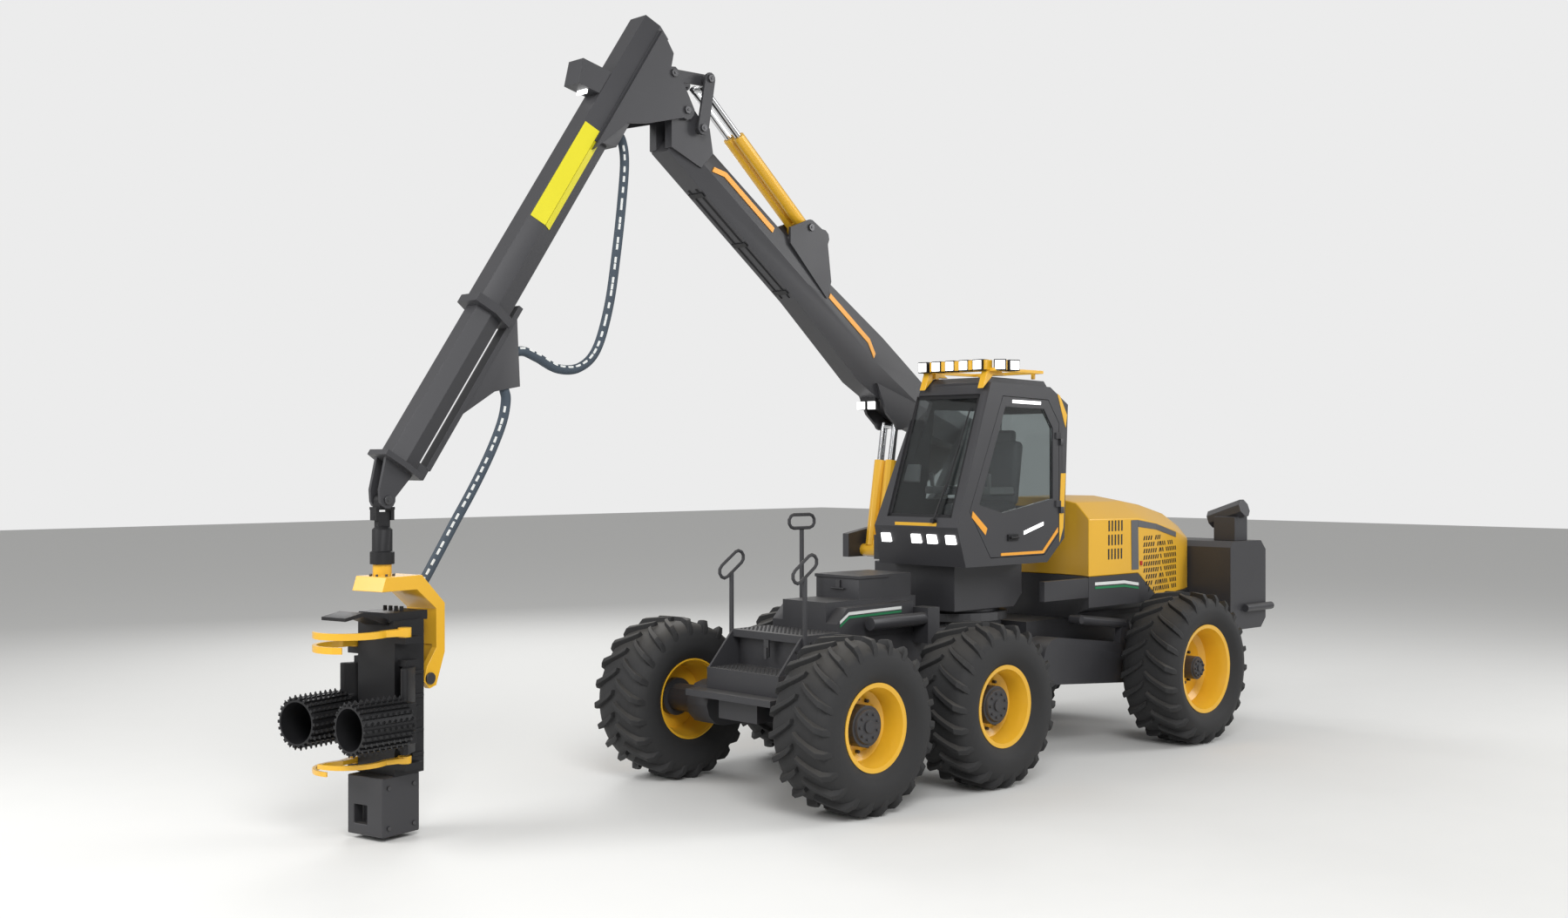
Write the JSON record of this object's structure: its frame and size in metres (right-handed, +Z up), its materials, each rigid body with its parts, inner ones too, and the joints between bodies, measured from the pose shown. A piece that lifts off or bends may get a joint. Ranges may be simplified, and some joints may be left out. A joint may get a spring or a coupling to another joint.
{
  "type": "forestry harvester",
  "caption": "Wheeled forestry harvester with an articulated frame, a slewing cab and crane, and a harvester head that hangs from the crane.",
  "frame": {"origin": "bottom centre of the machine's box, on the ground, hoses left out", "axes": "+X forward, +Y to the left, +Z up"},
  "size_m": [10.6508, 2.89, 6.6661],
  "materials": {
    "front_frame": "satin",
    "front_bogies": "satin",
    "front_steps": "satin",
    "front_box": "satin",
    "ring_gear": "satin",
    "rear_frame": "satin",
    "rear_cowl": "satin",
    "hood": "gloss",
    "engine_block": "satin",
    "rear_tank": "satin",
    "exhaust": "satin",
    "pendulum_arm_left": "satin",
    "pendulum_arm_right": "satin",
    "toolbox_lid": "satin",
    "turntable": "satin",
    "cab_shell": "satin",
    "windscreen": "clear",
    "side_window": "clear",
    "rear_window": "clear",
    "seat": "woven",
    "roof_rack": "gloss",
    "crane_pillar": "satin",
    "door": "satin",
    "door_glass": "clear",
    "boom": "satin",
    "lift_barrels": "gloss",
    "lift_rods": "polished",
    "stick_barrels": "gloss",
    "stick_rods": "polished",
    "stick": "satin",
    "upper_hose": "matt",
    "rocker": "satin",
    "link": "satin",
    "extension": "satin",
    "lower_hose": "matt",
    "tip_link": "satin",
    "rotator": "satin",
    "head_frame": "gloss",
    "head_body": "satin",
    "saw_box": "satin",
    "tyre_front_left": "matt",
    "rim_front_left": "gloss",
    "tyre_front_right": "matt",
    "rim_front_right": "gloss",
    "tyre_middle_left": "matt",
    "rim_middle_left": "gloss",
    "tyre_middle_right": "matt",
    "rim_middle_right": "gloss",
    "tyre_rear_left": "matt",
    "rim_rear_left": "gloss",
    "tyre_rear_right": "matt",
    "rim_rear_right": "gloss",
    "feed_arm_left": "satin",
    "feed_roller_left": "satin",
    "feed_arm_right": "satin",
    "feed_roller_right": "satin",
    "top_knife_left": "gloss",
    "top_knife_right": "gloss",
    "low_knife_left": "gloss",
    "low_knife_right": "gloss"
  },
  "bodies": {
    "chassis": {"front_frame": "front_frame", "front_bogies": "front_bogies", "front_steps": "front_steps", "front_box": "front_box", "ring_gear": "ring_gear"},
    "rear": {"rear_frame": "rear_frame", "rear_cowl": "rear_cowl", "hood": "hood", "engine_block": "engine_block", "rear_tank": "rear_tank", "exhaust": "exhaust", "pendulum_arm_left": "pendulum_arm_left", "pendulum_arm_right": "pendulum_arm_right"},
    "toolbox_lid": {"toolbox_lid": "toolbox_lid"},
    "upper": {"turntable": "turntable", "cab_shell": "cab_shell", "windscreen": "windscreen", "side_window": "side_window", "rear_window": "rear_window", "seat": "seat", "roof_rack": "roof_rack", "crane_pillar": "crane_pillar"},
    "door": {"door": "door", "door_glass": "door_glass"},
    "boom": {"boom": "boom"},
    "lift_barrels": {"lift_barrels": "lift_barrels"},
    "lift_rods": {"lift_rods": "lift_rods"},
    "stick_barrels": {"stick_barrels": "stick_barrels"},
    "stick_rods": {"stick_rods": "stick_rods"},
    "stick": {"stick": "stick", "upper_hose": "upper_hose"},
    "rocker": {"rocker": "rocker"},
    "link": {"link": "link"},
    "extension": {"extension": "extension", "lower_hose": "lower_hose"},
    "tip_link": {"tip_link": "tip_link"},
    "rotator": {"rotator": "rotator"},
    "head_frame": {"head_frame": "head_frame"},
    "head": {"head_body": "head_body", "saw_box": "saw_box"},
    "wheel_front_left": {"tyre_front_left": "tyre_front_left", "rim_front_left": "rim_front_left"},
    "wheel_front_right": {"tyre_front_right": "tyre_front_right", "rim_front_right": "rim_front_right"},
    "wheel_middle_left": {"tyre_middle_left": "tyre_middle_left", "rim_middle_left": "rim_middle_left"},
    "wheel_middle_right": {"tyre_middle_right": "tyre_middle_right", "rim_middle_right": "rim_middle_right"},
    "wheel_rear_left": {"tyre_rear_left": "tyre_rear_left", "rim_rear_left": "rim_rear_left"},
    "wheel_rear_right": {"tyre_rear_right": "tyre_rear_right", "rim_rear_right": "rim_rear_right"},
    "feed_arm_left": {"feed_arm_left": "feed_arm_left"},
    "feed_roller_left": {"feed_roller_left": "feed_roller_left"},
    "feed_arm_right": {"feed_arm_right": "feed_arm_right"},
    "feed_roller_right": {"feed_roller_right": "feed_roller_right"},
    "top_knife_left": {"top_knife_left": "top_knife_left"},
    "top_knife_right": {"top_knife_right": "top_knife_right"},
    "low_knife_left": {"low_knife_left": "low_knife_left"},
    "low_knife_right": {"low_knife_right": "low_knife_right"}
  },
  "joints": [
    {"name": "wheel_front_left_spin", "type": "hinge", "parent": "chassis", "child": "wheel_front_left", "pos_m": [1.49456, 1.12, 0.715], "axis": [0, 1, 0], "continuous": true},
    {"name": "wheel_front_right_spin", "type": "hinge", "parent": "chassis", "child": "wheel_front_right", "pos_m": [1.49456, -1.12, 0.715], "axis": [0, 1, 0], "continuous": true},
    {"name": "wheel_middle_left_spin", "type": "hinge", "parent": "chassis", "child": "wheel_middle_left", "pos_m": [-0.14544, 1.12, 0.715], "axis": [0, 1, 0], "continuous": true},
    {"name": "wheel_middle_right_spin", "type": "hinge", "parent": "chassis", "child": "wheel_middle_right", "pos_m": [-0.14544, -1.12, 0.715], "axis": [0, 1, 0], "continuous": true},
    {"name": "wheel_rear_left_spin", "type": "hinge", "parent": "rear", "child": "wheel_rear_left", "pos_m": [-3.36744, 1.12, 0.757], "axis": [0, 1, 0], "continuous": true},
    {"name": "wheel_rear_right_spin", "type": "hinge", "parent": "rear", "child": "wheel_rear_right", "pos_m": [-3.36744, -1.12, 0.757], "axis": [0, 1, 0], "continuous": true},
    {"name": "frame_steer", "type": "hinge", "parent": "chassis", "child": "rear", "pos_m": [-1.40544, 0, 1.05], "axis": [0, 0, 1], "range_deg": [-35, 35]},
    {"name": "slew", "type": "hinge", "parent": "chassis", "child": "upper", "pos_m": [-1.00544, 0, 1.43], "axis": [0, 0, -1], "range_deg": [-110, 110]},
    {"name": "door_hinge", "type": "hinge", "parent": "upper", "child": "door", "pos_m": [-1.68944, 0.812, 2.6], "axis": [0, 0, 1], "range_deg": [0, 85]},
    {"name": "toolbox_lid_hinge", "type": "hinge", "parent": "chassis", "child": "toolbox_lid", "pos_m": [0.14456, -0.278, 1.82], "axis": [1, 0, 0], "range_deg": [0, 70]},
    {"name": "boom_lift", "type": "hinge", "parent": "upper", "child": "boom", "pos_m": [-2.22544, -0.8, 3.1], "axis": [0, 1, 0], "range_deg": [-20, 15]},
    {"name": "lift_barrels_turn", "type": "hinge", "parent": "upper", "child": "lift_barrels", "pos_m": [-0.85544, -0.8, 1.955], "axis": [0, 1, 0], "range_deg": [-0.4115, 0.482]},
    {"name": "lift_rods_slide", "type": "slide", "parent": "lift_barrels", "child": "lift_rods", "axis": [-0.1562, 0, 0.9877], "range_m": [-0.30686, 0.40848]},
    {"name": "stick_turn", "type": "hinge", "parent": "boom", "child": "stick", "pos_m": [1.76856, -0.8, 5.896], "axis": [0, -1, 0], "range_deg": [-17, 38]},
    {"name": "rocker_turn", "type": "hinge", "parent": "boom", "child": "rocker", "pos_m": [1.60756, -0.8, 5.757], "axis": [0, 1, 0], "range_deg": [-27.4, 12.37]},
    {"name": "link_turn", "type": "hinge", "parent": "rocker", "child": "link", "pos_m": [1.52556, -0.8, 6.203], "axis": [0, 1, 0], "range_deg": [-4.18, 9.1]},
    {"name": "stick_barrels_turn", "type": "hinge", "parent": "boom", "child": "stick_barrels", "pos_m": [0.20956, -0.8, 5.031], "axis": [0, 1, 0], "range_deg": [-2.29, 1.13]},
    {"name": "stick_rods_slide", "type": "slide", "parent": "stick_barrels", "child": "stick_rods", "axis": [0.7489, 0, 0.6627], "range_m": [-0.19354, 0.08769]},
    {"name": "extension_slide", "type": "slide", "parent": "stick", "child": "extension", "axis": [0.5506, 0, -0.8348], "range_m": [-1.2, 1.2], "deforming": ["upper_hose", "lower_hose"]},
    {"name": "tip_swing", "type": "hinge", "parent": "extension", "child": "tip_link", "pos_m": [4.64456, -0.8, 2.543], "axis": [0, 1, 0], "range_deg": [-50, 50]},
    {"name": "link_swing", "type": "hinge", "parent": "tip_link", "child": "rotator", "pos_m": [4.64456, -0.8, 2.425], "axis": [1, 0, 0], "range_deg": [-30, 30]},
    {"name": "rotator_turn", "type": "hinge", "parent": "rotator", "child": "head_frame", "pos_m": [4.64456, -0.8, 2.06], "axis": [0, 0, 1], "continuous": true},
    {"name": "head_tilt", "type": "hinge", "parent": "head_frame", "child": "head", "pos_m": [4.32177, -0.86861, 1.17], "axis": [-0.2079, 0.9781, 0], "range_deg": [0, 90]},
    {"name": "feed_arm_left_turn", "type": "hinge", "parent": "head", "child": "feed_arm_left", "pos_m": [4.55346, -0.56378, 0.9], "axis": [0, 0, 1], "range_deg": [0, 40]},
    {"name": "feed_roller_left_spin", "type": "hinge", "parent": "feed_arm_left", "child": "feed_roller_left", "pos_m": [4.69879, -0.45466, 0.905], "axis": [0.9925, 0.1219, 0], "continuous": true},
    {"name": "feed_arm_right_turn", "type": "hinge", "parent": "head", "child": "feed_arm_right", "pos_m": [4.65741, -1.05285, 0.9], "axis": [0, 0, -1], "range_deg": [-0.2, 40.2]},
    {"name": "feed_roller_right_spin", "type": "hinge", "parent": "feed_arm_right", "child": "feed_roller_right", "pos_m": [4.83457, -1.09342, 0.905], "axis": [0.9563, 0.2924, 0], "continuous": true},
    {"name": "top_knife_left_turn", "type": "hinge", "parent": "head", "child": "top_knife_left", "pos_m": [4.60903, -0.53663, 1.56], "axis": [0, 0, 1], "range_deg": [0, 50]},
    {"name": "top_knife_right_turn", "type": "hinge", "parent": "head", "child": "top_knife_right", "pos_m": [4.71922, -1.05505, 1.46], "axis": [0, 0, -1], "range_deg": [-0.2, 50.2]},
    {"name": "low_knife_left_turn", "type": "hinge", "parent": "head", "child": "low_knife_left", "pos_m": [4.60903, -0.53663, 0.61], "axis": [0, 0, 1], "range_deg": [0, 50]},
    {"name": "low_knife_right_turn", "type": "hinge", "parent": "head", "child": "low_knife_right", "pos_m": [4.71922, -1.05505, 0.56], "axis": [0, 0, -1], "range_deg": [-0.2, 50.2]}
  ],
  "couplings": [
    {"joint": "lift_barrels_turn", "follows": "boom_lift", "ratio": -0.014102},
    {"joint": "lift_rods_slide", "follows": "boom_lift", "m_per_rad": -1.1645},
    {"joint": "rocker_turn", "follows": "stick_turn", "ratio": -0.7157},
    {"joint": "link_turn", "follows": "stick_turn", "ratio": 0.23424},
    {"joint": "stick_barrels_turn", "follows": "stick_turn", "ratio": -0.054899},
    {"joint": "stick_rods_slide", "follows": "stick_turn", "m_per_rad": -0.28881},
    {"joint": "feed_arm_right_turn", "follows": "feed_arm_left_turn", "ratio": 1},
    {"joint": "top_knife_right_turn", "follows": "top_knife_left_turn", "ratio": 1},
    {"joint": "low_knife_right_turn", "follows": "low_knife_left_turn", "ratio": 1}
  ]
}
